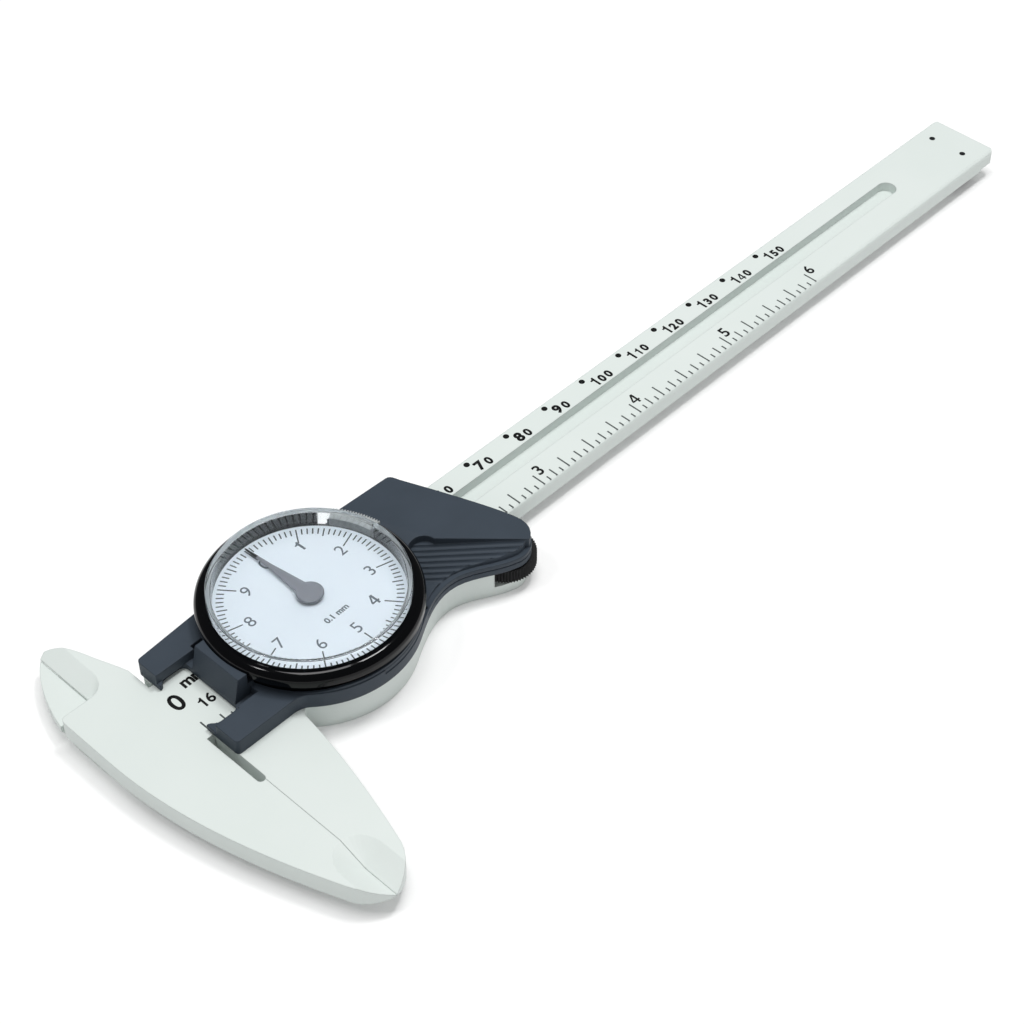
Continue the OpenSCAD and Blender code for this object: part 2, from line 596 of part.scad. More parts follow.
module front_cover() {
    front = 2 * jaw_gap;
    color("#3c434c") difference() {
        union() {
            difference() {
                union() {
                    translate([0, 0, beam_z1]) linear_extrude(ledge_h) polygon(slider_outline(0, front));
                    // Front part with the two prongs, and the housing round the dial
                    translate([0, 0, ledge_z - eps]) linear_extrude(deck_z - ledge_z + eps) {
                        intersection() {
                            polygon(slider_outline(0, front));
                            translate([-1, -30]) square([dial_x, 60]);
                        }
                        upper_plan();
                    }
                    // Raised thumb grip right of the dial
                    translate([0, 0, deck_z - eps]) linear_extrude(grip_h - prong_h + 1) difference() {
                        intersection() {
                            upper_plan();
                            translate([40, -30]) square([40, 60]);
                        }
                        translate([dial_x, dial_y]) circle(r = grip_gap_r);
                    }
                }
                // Low floor between the prongs, and the notch at the block's far end
                translate([-1, -half_w - 1.05, bar_z]) cube([window_w, prong_y + half_w + 1.05, 10]);
                translate([-1, -half_w - 0.65, bar_z]) cube([window_w + 4.3, prong_y + half_w + 0.65, 10]);
                translate([window_w + 2, prong_y - 0.1, deck_z - 1.2]) cube([2.4, 1, 10]);
            }
            bezel_block();
            collar();
        }
        translate([0, 0, beam_z1 - 1]) linear_extrude(bar_h + 1 + eps) window_plan();
        // The smooth face falls away from the ridge
        translate([nose[0], nose[1], grip_z]) rotate([-smooth_fall, 0, ridge_a + 180])
            translate([-40, -30, 0]) cube([80, 80, 10]);
        // Facet that falls from the smooth face to the bezel
        translate([ridge_end[0], ridge_end[1], grip_z]) rotate([-facet_fall, 1.2, 108])
            translate([-5, 0, 0]) cube([20, 8, 5]);
        ribbed_sink();
        // Room for the beam, the movement and the bezel
        translate([-1, -half_w - slide_fit, beam_z1 - 1]) cube([80, beam_w + 2 * slide_fit, 1 + slide_fit]);
        translate([dial_x, dial_y, floor_z]) cylinder(r = well_r, h = 20);
        translate([dial_x, dial_y, deck_z]) cylinder(r = neck_r + 0.1, h = 20);
        translate([dial_x, dial_y, collar_z]) cylinder(r = bezel_r + 0.1, h = 20);
        // Bearings of the three arbors
        translate([pinion_x, pinion_y, beam_z1 - 1]) cylinder(r = pinion_hub_r + shaft_fit, h = 5);
        translate([idler_x, idler_y, pivot_z]) cylinder(r = shaft_r + shaft_fit, h = 5);
        translate([dial_x, dial_y, pivot_z]) cylinder(r = shaft_r + shaft_fit, h = 5);
        // Shallow line round the side of the grip
        translate([0, 0, beam_z1 + 1.15]) linear_extrude(0.2) difference() {
            translate([dial_x + 13, -40]) square([60, 80]);
            polygon(slider_outline(0.15, front));
        }
        // Small hole in the ledge at the waist
        translate([dial_x + 13.3, -front_low - 0.5, ledge_z - 0.6]) cylinder(r = 0.4, h = 2, $fn = 24);
        for (p = screw_places) translate([p[0], p[1], beam_z1 - 1]) cylinder(r = screw_r, h = 2);
        translate([wheel_x, wheel_y, beam_z1 - 1]) cylinder(r = axle_r, h = 3);
        bridge_posts(shaft_r, floor_z - 0.9, 5);
    }
}

module bezel_ring() {
    lip = crystal_r + seat_fit;
    shelf = flange_z + flange_t + seat_fit;
    top_r = 1.3;
    color("#0b0b0d") difference() {
        translate([dial_x, dial_y, 0]) rotate_extrude() polygon(concat(
            [[flange_r + seat_fit, deck_z], [neck_r, deck_z], [neck_r, skirt_z], [bezel_r - 0.2, skirt_z],
                [bezel_r, skirt_z + 0.2]],
            arc([bezel_r - top_r, bezel_z - top_r], top_r, 0, 90, 8),
            [[lip, bezel_z], [lip, shelf], [flange_r + seat_fit, shelf]]));
        // Opening for the crystal's finger tab
        translate([dial_x, dial_y, deck_z + 0.1]) linear_extrude(20) polygon(concat(
            arc([0, 0], crystal_r - 1.8, tab_from - 2.2, tab_to + 7.2, 6),
            arc([0, 0], tab_r + 6, tab_to + 7.2, tab_from - 2.2, 6)));
    }
}

// Round bars where the bridge's posts stand
module bridge_posts(r, z0, h) {
    for (a = post_angles) translate([dial_x, dial_y, z0]) rotate(a) translate([post_r, 0, 0]) cylinder(r = r, h = h);
}

module movement_bridge() {
    color("goldenrod") difference() {
        union() {
            translate([dial_x, dial_y, bridge_z]) linear_extrude(bridge_t) intersection() {
                circle(r = well_r - pass_fit);
                union() {
                    translate([-3, -2.5]) square([14.5, 5]);
                    for (a = post_angles) rotate(a) translate([0, -2]) square([14, 4]);
                }
            }
            bridge_posts(1.2, floor_z, bridge_z - floor_z + eps);
        }
        for (p = [[pinion_x, pinion_y], [idler_x, idler_y], [dial_x, dial_y]])
            translate([p[0], p[1], 0]) cylinder(r = shaft_r + shaft_fit, h = 20);
        bridge_posts(shaft_r, floor_z - 1, 10);
    }
}

module bridge_screws() {
    color("silver") {
        bridge_posts(shaft_r, floor_z - 0.9, bridge_z + bridge_t - floor_z + 0.9);
        bridge_posts(0.9, bridge_z + bridge_t, 0.5);
    }
}

module friction_ring() {
    r = (dial_z - dial_t - deck_z - seat_fit) / 2;
    color("#202020") translate([dial_x, dial_y, deck_z + r]) rotate_extrude() translate([ring_r, 0]) circle(r = r, $fn = 24);
}

module dial_face() {
    color("white") translate([dial_x, dial_y, dial_z - dial_t]) difference() {
        cylinder(r = dial_r, h = dial_t);
        translate([0, 0, -1]) cylinder(r = 1.1, h = 3);
    }
}

module crystal() {
    inner = crystal_r - 0.7;
    rim_r = 1;
    step = (tab_to - tab_from) / tab_ridges;
    color([0.9, 0.95, 1, 0.35]) translate([dial_x, dial_y, 0]) union() {
        rotate_extrude() polygon([[dial_r, flange_z], [flange_r, flange_z], [flange_r, flange_z + flange_t],
            [crystal_r, flange_z + flange_t], each arc([crystal_r - rim_r, crystal_z - rim_r], rim_r, 0, 90, 6),
            [0, crystal_z], [0, crystal_z - crystal_t], [inner, crystal_z - crystal_t], [inner, dial_z + 0.1],
            [dial_r, dial_z + 0.1]]);
        // Ridged finger tab
        translate([0, 0, flange_z]) linear_extrude(bezel_z - 0.5 - flange_z) polygon(concat(
            arc([0, 0], crystal_r - 0.2, tab_to, tab_from, 6),
            [for (k = [0:tab_ridges - 1]) let (a = tab_from + step * (k + 0.25), b = a + step / 2)
                each [tab_r * [cos(a), sin(a)], (tab_r - 0.4) * [cos(b), sin(b)]]]));
    }
}

module pointer() {
    color("#8c8c90") translate([dial_x, dial_y, pointer_z]) rotate(dial_turn + 90) difference() {
        union() {
            cylinder(r = hub_r, h = hub_t);
            linear_extrude(pointer_t) polygon([[0, -1.25], [pointer_l, -0.2], [pointer_l, 0.2], [0, 1.25]]);
        }
        // Blind hole for the arbor
        translate([0, 0, -1]) cylinder(r = shaft_r, h = 1 + pointer_t);
    }
}

module centre_arbor() {
    color("goldenrod") union() {
        translate([dial_x, dial_y, pivot_z + 0.1]) cylinder(r = shaft_r, h = pointer_z + pointer_t - seat_fit - pivot_z - 0.1);
        translate([dial_x, dial_y, gear_z]) gear(train_teeth, wheel_m, gear_t, train_angle + 180);
    }
}

module rack_pinion() {
    z = rack_z + rack_t;
    color("goldenrod") union() {
        translate([pinion_x, pinion_y, rack_z + 0.05]) gear(pinion_teeth, rack_m, rack_t - 0.1, -90);
        translate([pinion_x, pinion_y, z - 0.1]) cylinder(r = pinion_hub_r, h = gear_z - z + 0.1);
        translate([pinion_x, pinion_y, gear_z]) gear(train_teeth, wheel_m, gear_t, train_angle);
        translate([pinion_x, pinion_y, gear_z]) cylinder(r = shaft_r, h = bridge_z + bridge_t - gear_z);
    }
}

module idler_wheel() {
    color("goldenrod") union() {
        translate([idler_x, idler_y, pivot_z + 0.1]) cylinder(r = shaft_r, h = bridge_z + bridge_t - pivot_z - 0.1);
        translate([idler_x, idler_y, gear_z]) gear(idler_teeth, wheel_m, gear_t, train_angle + 180 / idler_teeth);
    }
}

beam_with_fixed_jaws();
rack_strip();
end_stop_plate();
stop_pins();
moving_jaw_body();
front_cover();
bezel_ring();
cover_screws();
gib_strip();
depth_rod();
depth_rod_pin();
thumb_wheel_axle();
movement_bridge();
bridge_screws();
friction_ring();
dial_face();
crystal();
pointer();
centre_arbor();
rack_pinion();
idler_wheel();
thumb_wheel();
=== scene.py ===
import math

import bmesh
import bpy
from mathutils import Matrix, Quaternion, Vector


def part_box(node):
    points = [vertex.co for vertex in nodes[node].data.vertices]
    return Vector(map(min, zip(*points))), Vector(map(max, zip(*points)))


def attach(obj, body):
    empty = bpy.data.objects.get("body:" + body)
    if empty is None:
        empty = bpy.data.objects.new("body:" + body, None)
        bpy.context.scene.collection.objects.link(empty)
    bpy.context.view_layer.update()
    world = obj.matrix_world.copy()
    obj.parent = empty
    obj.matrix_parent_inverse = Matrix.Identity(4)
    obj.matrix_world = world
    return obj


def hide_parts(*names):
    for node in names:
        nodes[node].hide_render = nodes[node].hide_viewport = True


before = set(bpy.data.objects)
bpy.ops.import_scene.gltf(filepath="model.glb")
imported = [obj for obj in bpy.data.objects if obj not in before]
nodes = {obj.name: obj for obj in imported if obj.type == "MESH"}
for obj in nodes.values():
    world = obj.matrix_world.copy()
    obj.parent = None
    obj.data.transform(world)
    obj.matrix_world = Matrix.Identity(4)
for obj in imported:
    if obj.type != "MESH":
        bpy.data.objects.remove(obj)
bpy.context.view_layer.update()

# ---------------------------------------------------------------- Beam with the fixed jaws
# One moulding of white, glass-filled nylon. The tool was spark-eroded, which leaves a fine, even
# grain that takes the shine off the flat faces, and the edges are a little rounded.

MM = 0.001


def linear(code):
    """sRGB hex colour as linear red, green, blue and alpha."""
    parts = [int(code[i:i + 2], 16) / 255 for i in (1, 3, 5)]
    return (*[p / 12.92 if p <= 0.04045 else ((p + 0.055) / 1.055) ** 2.4 for p in parts], 1.0)


def add(tree, kind, inputs=None, **settings):
    """Adds a node, sets its settings, and gives each input its value or its link."""
    made = tree.nodes.new(kind)
    for name, value in settings.items():
        setattr(made, name, value)
    for name, value in (inputs or {}).items():
        if isinstance(value, bpy.types.NodeSocket):
            tree.links.new(value, made.inputs[name])
        else:
            made.inputs[name].default_value = value
    return made


def finish_named(name, **values):
    """New material with its main shader's own values set; returns the material, its tree and the shader."""
    made = bpy.data.materials.new(name)
    made.use_nodes = True
    tree = made.node_tree
    shader = tree.nodes["Principled BSDF"]
    for key, value in values.items():
        shader.inputs[key.replace("_", " ")].default_value = value
    return made, tree, shader


def dress(material, *names):
    """Gives CAD nodes their material."""
    for name in names:
        mesh = nodes[name].data
        mesh.materials.clear()
        mesh.materials.append(material)


# Spark-eroded nylon: a soft, broad shine and a cool white that greys slightly from place to place
white_nylon, tree, shader = finish_named("white_nylon_moulded", Roughness=0.5, IOR=1.53)
place = add(tree, "ShaderNodeTexCoord").outputs["Object"]
cloud = add(tree, "ShaderNodeTexNoise", {"Vector": place, "Scale": 70.0, "Detail": 3.0, "Roughness": 0.5})
tint = add(tree, "ShaderNodeMix", {"Factor": cloud.outputs["Fac"], "A": linear("#dde6e2"), "B": linear("#e4ebe8")},
           data_type="RGBA")
tree.links.new(tint.outputs["Result"], shader.inputs["Base Color"])
# Grain of about 0.25 mm, coarser than a real one so that it shows
grain = add(tree, "ShaderNodeTexNoise", {"Vector": place, "Scale": 4000.0, "Detail": 2.0})
soft_edge = add(tree, "ShaderNodeBevel", {"Radius": 0.25 * MM}, samples=6)
bump = add(tree, "ShaderNodeBump", {"Height": grain.outputs["Fac"], "Strength": 0.12, "Distance": 0.05 * MM,
                                    "Normal": soft_edge.outputs["Normal"]})
tree.links.new(bump.outputs["Normal"], shader.inputs["Normal"])
dress(white_nylon, "beam_with_fixed_jaws", "moving_jaw_body")

# ---------------------------------------------------------------- Millimetre scale
# A dot every 10 mm above the groove, pad printed in black on the beam's front face.
# Each numeral stands right of its dot; its first digit is larger than the ones that follow.

PRINT_T = 0.012
BEAM_TOP = 6.0
INK_Z = (BEAM_TOP + PRINT_T / 2) * MM

# Dense black ink with hardly any shine, a little worn from place to place
printing_black, tree, shader = finish_named("black_pad_printing", Roughness=0.55, IOR=1.5, Specular_IOR_Level=0.2)
place = add(tree, "ShaderNodeTexCoord").outputs["Object"]
wear = add(tree, "ShaderNodeTexNoise", {"Vector": place, "Scale": 6000.0, "Detail": 1.0})
tint = add(tree, "ShaderNodeMix", {"Factor": wear.outputs["Fac"], "A": linear("#060707"), "B": linear("#17191a")},
           data_type="RGBA")
tree.links.new(tint.outputs["Result"], shader.inputs["Base Color"])


def new_piece(name, mesh, material, body):
    """Links a finished mesh as a piece of the object that rides on a body."""
    piece = bpy.data.objects.new(name, mesh)
    bpy.context.scene.collection.objects.link(piece)
    mesh.materials.clear()
    mesh.materials.append(material)
    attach(piece, body)
    return piece


# Figures whose strokes stay even when they are bold, each as flat faces one unit high
DRAWN = {"1": [[(0.24, 0), (0.43, 0), (0.43, 1), (0.29, 1), (0.24, 0.88), (0.14, 0.81), (0.02, 0.79), (0.02, 0.66),
                (0.24, 0.66)]],
         "4": [[(0.38, 1), (0, 0.38), (0, 0.22), (0.41, 0.22), (0.41, 0.36), (0.14, 0.36), (0.41, 0.78), (0.41, 1)],
               [(0.41, 0), (0.58, 0), (0.58, 0.22), (0.69, 0.22), (0.69, 0.36), (0.58, 0.36), (0.58, 1), (0.41, 1),
                (0.41, 0.78), (0.41, 0.36), (0.41, 0.22)]]}


def flat_letters(words, weight):
    """Flat mesh of letters in font units."""
    if words in DRAWN:
        drawn = bmesh.new()
        for face in DRAWN[words]:
            drawn.faces.new([drawn.verts.new((x, y, 0)) for x, y in face])
        bmesh.ops.remove_doubles(drawn, verts=drawn.verts, dist=1e-5)
        mesh = bpy.data.meshes.new("figure")
        drawn.to_mesh(mesh)
        drawn.free()
        return mesh
    if words == "9":
        # A bold 9 of this font fills wrongly, so it is the 6 turned round
        mesh = flat_letters("6", weight)
        mesh.transform(Matrix.Rotation(math.pi, 4, "Z"))
        return mesh
    curve = bpy.data.curves.new("letters", "FONT")
    curve.body, curve.offset, curve.resolution_u = words, weight, 5
    holder = bpy.data.objects.new("letters", curve)
    bpy.context.scene.collection.objects.link(holder)
    bpy.context.view_layer.update()
    mesh = bpy.data.meshes.new_from_object(holder.evaluated_get(bpy.context.evaluated_depsgraph_get()))
    bpy.data.objects.remove(holder)
    bpy.data.curves.remove(curve)
    return mesh


def cut_letters(words, centre, height, z, weight=0.0, turn=0.0):
    """Mesh of letters in metres, as thick as the printing, centred on a point given in millimetres."""
    mesh = flat_letters(words, weight)
    low = [min(v.co[k] for v in mesh.vertices) for k in (0, 1)]
    high = [max(v.co[k] for v in mesh.vertices) for k in (0, 1)]
    size = height / (high[1] - low[1])
    middle = Vector(((low[0] + high[0]) / 2, (low[1] + high[1]) / 2, 0))
    mesh.transform(Matrix.Scale(MM, 4) @ Matrix.Translation((centre[0], centre[1], z))
                   @ Matrix.Rotation(math.radians(turn), 4, "Z")
                   @ Matrix.Diagonal((size, size, 1, 1)) @ Matrix.Translation(-middle))
    solid = bmesh.new()
    solid.from_mesh(mesh)
    bmesh.ops.remove_doubles(solid, verts=solid.verts, dist=1e-7)
    grown = bmesh.ops.extrude_face_region(solid, geom=list(solid.faces))
    bmesh.ops.translate(solid, verts=[g for g in grown["geom"] if isinstance(g, bmesh.types.BMVert)],
                        vec=(0, 0, PRINT_T * MM))
    bmesh.ops.recalc_face_normals(solid, faces=solid.faces)
    solid.to_mesh(mesh)
    solid.free()
    return mesh


def joined(meshes):
    """One mesh made of several."""
    whole = bmesh.new()
    for mesh in meshes:
        whole.from_mesh(mesh)
        bpy.data.meshes.remove(mesh)
    result = bpy.data.meshes.new("joined")
    whole.to_mesh(result)
    whole.free()
    return result


DIGITS_AT = {2: (2.07, 3.98), 3: (2.12, 3.83, 5.53)}
LEAD_H, DIGIT_H, BASELINE, BOLD = 2.4, 1.95, 3.1, 0.05
parts = []
for reading in range(10, 160, 10):
    figures = str(reading)
    for index, figure in enumerate(figures):
        tall = DIGIT_H if index else LEAD_H
        spot = (reading + DIGITS_AT[len(figures)][index], BASELINE + tall / 2)
        parts.append(cut_letters(figure, spot, tall, BEAM_TOP, weight=BOLD))
new_piece("millimetre_numerals", joined(parts), printing_black, "beam")


def geometry_tree(name, sizes):
    """Geometry tree with a named input for each size; returns the tree and its inputs."""
    tree = bpy.data.node_groups.new(name, "GeometryNodeTree")
    tree.interface.new_socket("Geometry", in_out="OUTPUT", socket_type="NodeSocketGeometry")
    for key, value in sizes.items():
        kind = "NodeSocketInt" if isinstance(value, int) else (
            "NodeSocketMaterial" if isinstance(value, bpy.types.Material) else "NodeSocketFloat")
        tree.interface.new_socket(key, in_out="INPUT", socket_type=kind)
    return tree, tree.nodes.new("NodeGroupInput").outputs


def run_tree(name, tree, sizes, body):
    """Evaluates a geometry tree with its sizes into a plain mesh and links it as a piece."""
    holder = bpy.data.objects.new(name + "_maker", bpy.data.meshes.new(name))
    bpy.context.scene.collection.objects.link(holder)
    modifier = holder.modifiers.new("maker", "NODES")
    modifier.node_group = tree
    for item in tree.interface.items_tree:
        if item.item_type == "SOCKET" and item.in_out == "INPUT":
            modifier[item.identifier] = sizes[item.name]
    bpy.context.view_layer.update()
    evaluated = holder.evaluated_get(bpy.context.evaluated_depsgraph_get())
    mesh = bpy.data.meshes.new_from_object(evaluated)
    holder.modifiers.remove(modifier)
    bpy.data.objects.remove(holder)
    return new_piece(name, mesh, sizes["Ink"], body)


def tree_result(tree, geometry, material):
    """Ends a geometry tree in real meshes with their material."""
    real = add(tree, "GeometryNodeRealizeInstances", {"Geometry": geometry})
    painted = add(tree, "GeometryNodeSetMaterial", {"Geometry": real.outputs[0], "Material": material})
    tree.links.new(painted.outputs[0], tree.nodes.new("NodeGroupOutput").inputs["Geometry"])


# Dots: fifteen flat discs along a line
DOT_START = (10.5 * MM, 6.06 * MM, INK_Z)
sizes = {"Count": 15, "Pitch": 10 * MM, "Radius": 0.58 * MM, "Thickness": PRINT_T * MM, "Ink": printing_black}
tree, given = geometry_tree("scale_dots", sizes)
step = add(tree, "ShaderNodeCombineXYZ", {"X": given["Pitch"]})
line = add(tree, "GeometryNodeMeshLine", {"Count": given["Count"], "Offset": step.outputs[0],
                                          "Start Location": DOT_START})
disc = add(tree, "GeometryNodeMeshCylinder", {"Vertices": 24, "Radius": given["Radius"], "Depth": given["Thickness"]})
dots = add(tree, "GeometryNodeInstanceOnPoints", {"Points": line.outputs[0], "Instance": disc.outputs[0]})
tree_result(tree, dots.outputs[0], given["Ink"])
run_tree("millimetre_dots", tree, sizes, "beam")

# ---------------------------------------------------------------- Inch scale
# Ticks every 1/16 in along the lower edge, in three lengths, with a numeral beside each inch.
# They are printed thinner than the numerals, so they look greyer.

# Thin ink that lets some of the white through
printing_grey, tree, shader = finish_named("grey_fine_printing", Roughness=0.6, IOR=1.5)
place = add(tree, "ShaderNodeTexCoord").outputs["Object"]
wear = add(tree, "ShaderNodeTexNoise", {"Vector": place, "Scale": 5000.0, "Detail": 2.0})
tint = add(tree, "ShaderNodeMix", {"Factor": wear.outputs["Fac"], "A": linear("#2c3233"), "B": linear("#5a6262")},
           data_type="RGBA")
tree.links.new(tint.outputs["Result"], shader.inputs["Base Color"])

INCH, INCH_ZERO, TICK_FOOT = 25.4, 0.324, -7.2
sizes = {"Count": 97, "Pitch": INCH / 16 * MM, "Width": 0.3 * MM, "Quarter": 3.0 * MM, "Eighth": 2.0 * MM,
         "Sixteenth": 1.1 * MM, "Thickness": PRINT_T * MM, "Ink": printing_grey}
tree, given = geometry_tree("inch_ticks", sizes)
step = add(tree, "ShaderNodeCombineXYZ", {"X": given["Pitch"]})
line = add(tree, "GeometryNodeMeshLine", {"Count": given["Count"], "Offset": step.outputs[0],
                                          "Start Location": (INCH_ZERO * MM, TICK_FOOT * MM, INK_Z)})
index = add(tree, "GeometryNodeInputIndex").outputs[0]


def every(tree, index, count):
    """True at every count-th point."""
    rest = add(tree, "ShaderNodeMath", {0: index, 1: float(count)}, operation="MODULO")
    return add(tree, "ShaderNodeMath", {0: rest.outputs[0], 1: 0.5}, operation="LESS_THAN").outputs[0]


short = add(tree, "GeometryNodeSwitch", {"Switch": every(tree, index, 2), "False": given["Sixteenth"],
                                         "True": given["Eighth"]}, input_type="FLOAT")
length = add(tree, "GeometryNodeSwitch", {"Switch": every(tree, index, 4), "False": short.outputs[0],
                                          "True": given["Quarter"]}, input_type="FLOAT")
size = add(tree, "ShaderNodeCombineXYZ", {"X": given["Width"], "Y": length.outputs[0], "Z": given["Thickness"]})
bar = add(tree, "GeometryNodeMeshCube", {"Size": (1, 1, 1)})
raised = add(tree, "GeometryNodeTransform", {"Geometry": bar.outputs[0], "Translation": (0, 0.5, 0)})
ticks = add(tree, "GeometryNodeInstanceOnPoints", {"Points": line.outputs[0], "Instance": raised.outputs[0],
                                                   "Scale": size.outputs[0]})
tree_result(tree, ticks.outputs[0], given["Ink"])
run_tree("inch_ticks", tree, sizes, "beam")

INCH_FIGURE_X, INCH_FIGURE_Y, INCH_FIGURE_H = 1.7, -3.93, 2.5
parts = [cut_letters(str(inch), (INCH_ZERO + INCH * inch + INCH_FIGURE_X, INCH_FIGURE_Y), INCH_FIGURE_H, BEAM_TOP,
                     weight=0.02) for inch in range(1, 7)]
new_piece("inch_numerals", joined(parts), printing_black, "beam")

# The zero and the two units, read in the window of the front cover: words, centre, height and weight
WINDOW_MARKS = (("0", (0.3, 1.58), 3.6, 0.02), ("m", (4.3, 3.55), 1.65, 0.035), ("m", (6.6, 3.55), 1.65, 0.035),
                ("1", (3.1, -1.43), 2.2, 0.025), ("6", (4.75, -1.43), 2.2, 0.02))
parts = [cut_letters(words, centre, height, BEAM_TOP, weight) for words, centre, height, weight in WINDOW_MARKS]
new_piece("zero_and_units", joined(parts), printing_black, "beam")

# ---------------------------------------------------------------- Rack, stop plate and pins
# A blanked steel rack lies in the groove, and a blackened steel plate under the tail is held by two
# pins, whose blued heads show as two dark spots.

# Bright, with fine scratches along the strip
ground_steel, tree, shader = finish_named("ground_steel", Metallic=1.0, Roughness=0.3)
place = add(tree, "ShaderNodeTexCoord").outputs["Object"]
along = add(tree, "ShaderNodeMapping", {"Vector": place, "Scale": (150.0, 6000.0, 6000.0)})
scratch = add(tree, "ShaderNodeTexNoise", {"Vector": along.outputs[0], "Scale": 1.0, "Detail": 3.0})
tint = add(tree, "ShaderNodeMix", {"Factor": scratch.outputs["Fac"], "A": linear("#b4b6b9"), "B": linear("#d8dadc")},
           data_type="RGBA")
tree.links.new(tint.outputs["Result"], shader.inputs["Base Color"])
bump = add(tree, "ShaderNodeBump", {"Height": scratch.outputs["Fac"], "Strength": 0.2, "Distance": 0.01 * MM})
tree.links.new(bump.outputs["Normal"], shader.inputs["Normal"])
dress(ground_steel, "rack_strip", "depth_rod", "thumb_wheel_axle", "bridge_screws")

# Blued black, a little blotchy
blackened_steel, tree, shader = finish_named("blackened_steel", Metallic=0.6, Roughness=0.42)
place = add(tree, "ShaderNodeTexCoord").outputs["Object"]
blotch = add(tree, "ShaderNodeTexNoise", {"Vector": place, "Scale": 900.0, "Detail": 4.0})
tint = add(tree, "ShaderNodeMix", {"Factor": blotch.outputs["Fac"], "A": linear("#1b1d20"), "B": linear("#34373b")},
           data_type="RGBA")
tree.links.new(tint.outputs["Result"], shader.inputs["Base Color"])
dress(blackened_steel, "end_stop_plate", "stop_pins", "cover_screws", "depth_rod_pin")

# ---------------------------------------------------------------- Front cover
# ABS in slate blue, moulded with a fine satin grain and slightly rounded edges.

# Low shine, so that the tops stay slate blue and the walls go dark
slate_abs, tree, shader = finish_named("slate_abs_moulded", Roughness=0.45, IOR=1.54, Specular_IOR_Level=0.15)
place = add(tree, "ShaderNodeTexCoord").outputs["Object"]
cloud = add(tree, "ShaderNodeTexNoise", {"Vector": place, "Scale": 120.0, "Detail": 3.0})
tint = add(tree, "ShaderNodeMix", {"Factor": cloud.outputs["Fac"], "A": linear("#3a434c"), "B": linear("#434c57")},
           data_type="RGBA")
tree.links.new(tint.outputs["Result"], shader.inputs["Base Color"])
# Grain of about 0.2 mm, coarser than a real one so that it shows
grain = add(tree, "ShaderNodeTexNoise", {"Vector": place, "Scale": 5000.0, "Detail": 2.0})
soft_edge = add(tree, "ShaderNodeBevel", {"Radius": 0.3 * MM}, samples=6)
bump = add(tree, "ShaderNodeBump", {"Height": grain.outputs["Fac"], "Strength": 0.15, "Distance": 0.05 * MM,
                                    "Normal": soft_edge.outputs["Normal"]})
tree.links.new(bump.outputs["Normal"], shader.inputs["Normal"])
dress(slate_abs, "front_cover")

# ---------------------------------------------------------------- Gib and movement
# The gib strip, the bridge and the gear wheels are brass, brushed in one direction.

# Warm metal with long fine scratches
brass, tree, shader = finish_named("brushed_brass", Metallic=1.0, Roughness=0.33)
place = add(tree, "ShaderNodeTexCoord").outputs["Object"]
along = add(tree, "ShaderNodeMapping", {"Vector": place, "Scale": (300.0, 9000.0, 9000.0)})
scratch = add(tree, "ShaderNodeTexNoise", {"Vector": along.outputs[0], "Scale": 1.0, "Detail": 2.0})
tint = add(tree, "ShaderNodeMix", {"Factor": scratch.outputs["Fac"], "A": linear("#c9a75a"), "B": linear("#e3c987")},
           data_type="RGBA")
tree.links.new(tint.outputs["Result"], shader.inputs["Base Color"])
dress(brass, "gib_strip", "movement_bridge", "centre_arbor", "rack_pinion", "idler_wheel")

# ---------------------------------------------------------------- Bezel and friction ring
# The bezel is polished black ABS, turned from its profile with an opening for the crystal's tab.
# A rubber ring under the dial holds the dial by friction.

DIAL_C = Vector((27.14, -1.15))
LIP_R = 16.85


def off_axis(tree, place):
    """Distance of a point from the dial's axis, in metres."""
    flat = add(tree, "ShaderNodeVectorMath", {0: place, 1: (1, 1, 0)}, operation="MULTIPLY")
    axis = (DIAL_C.x * MM, DIAL_C.y * MM, 0)
    return add(tree, "ShaderNodeVectorMath", {0: flat.outputs[0], 1: axis}, operation="DISTANCE").outputs["Value"]


# Deep black gloss with faint wipe marks; the wall inside the opening is matt
gloss_black, tree, shader = finish_named("polished_black_abs", IOR=1.54, Specular_IOR_Level=0.2)
shader.inputs["Base Color"].default_value = linear("#050608")
place = add(tree, "ShaderNodeTexCoord").outputs["Object"]
wipe = add(tree, "ShaderNodeTexNoise", {"Vector": place, "Scale": 400.0, "Detail": 4.0})
rough = add(tree, "ShaderNodeMapRange", {"Value": wipe.outputs["Fac"], "To Min": 0.05, "To Max": 0.11})
inside = add(tree, "ShaderNodeMath", {0: off_axis(tree, place), 1: (LIP_R + 0.03) * MM}, operation="LESS_THAN")
matt = add(tree, "ShaderNodeMath", {0: inside.outputs[0], 1: 0.4, 2: rough.outputs[0]}, operation="MULTIPLY_ADD")
tree.links.new(matt.outputs[0], shader.inputs["Roughness"])


def revolve(profile, centre, steps=128, start=0.0, end=360.0):
    """Closed mesh of a profile of radii and heights in millimetres, turned round an upright axis."""
    solid = bmesh.new()
    whole = end - start >= 360
    rings = []
    for k in range(steps if whole else steps + 1):
        a = math.radians(start + (end - start) * k / steps)
        rings.append([solid.verts.new(((centre[0] + r * math.cos(a)) * MM, (centre[1] + r * math.sin(a)) * MM,
                                       z * MM)) for r, z in profile])
    for k in range(steps):
        near, far = rings[k], rings[(k + 1) % len(rings)]
        for i in range(len(profile)):
            j = (i + 1) % len(profile)
            solid.faces.new((near[i], far[i], far[j], near[j]))
    if not whole:
        solid.faces.new(rings[0])
        solid.faces.new(rings[-1])
    bmesh.ops.remove_doubles(solid, verts=solid.verts, dist=1e-7)
    bmesh.ops.recalc_face_normals(solid, faces=solid.faces)
    mesh = bpy.data.meshes.new("revolved")
    solid.to_mesh(mesh)
    solid.free()
    return mesh


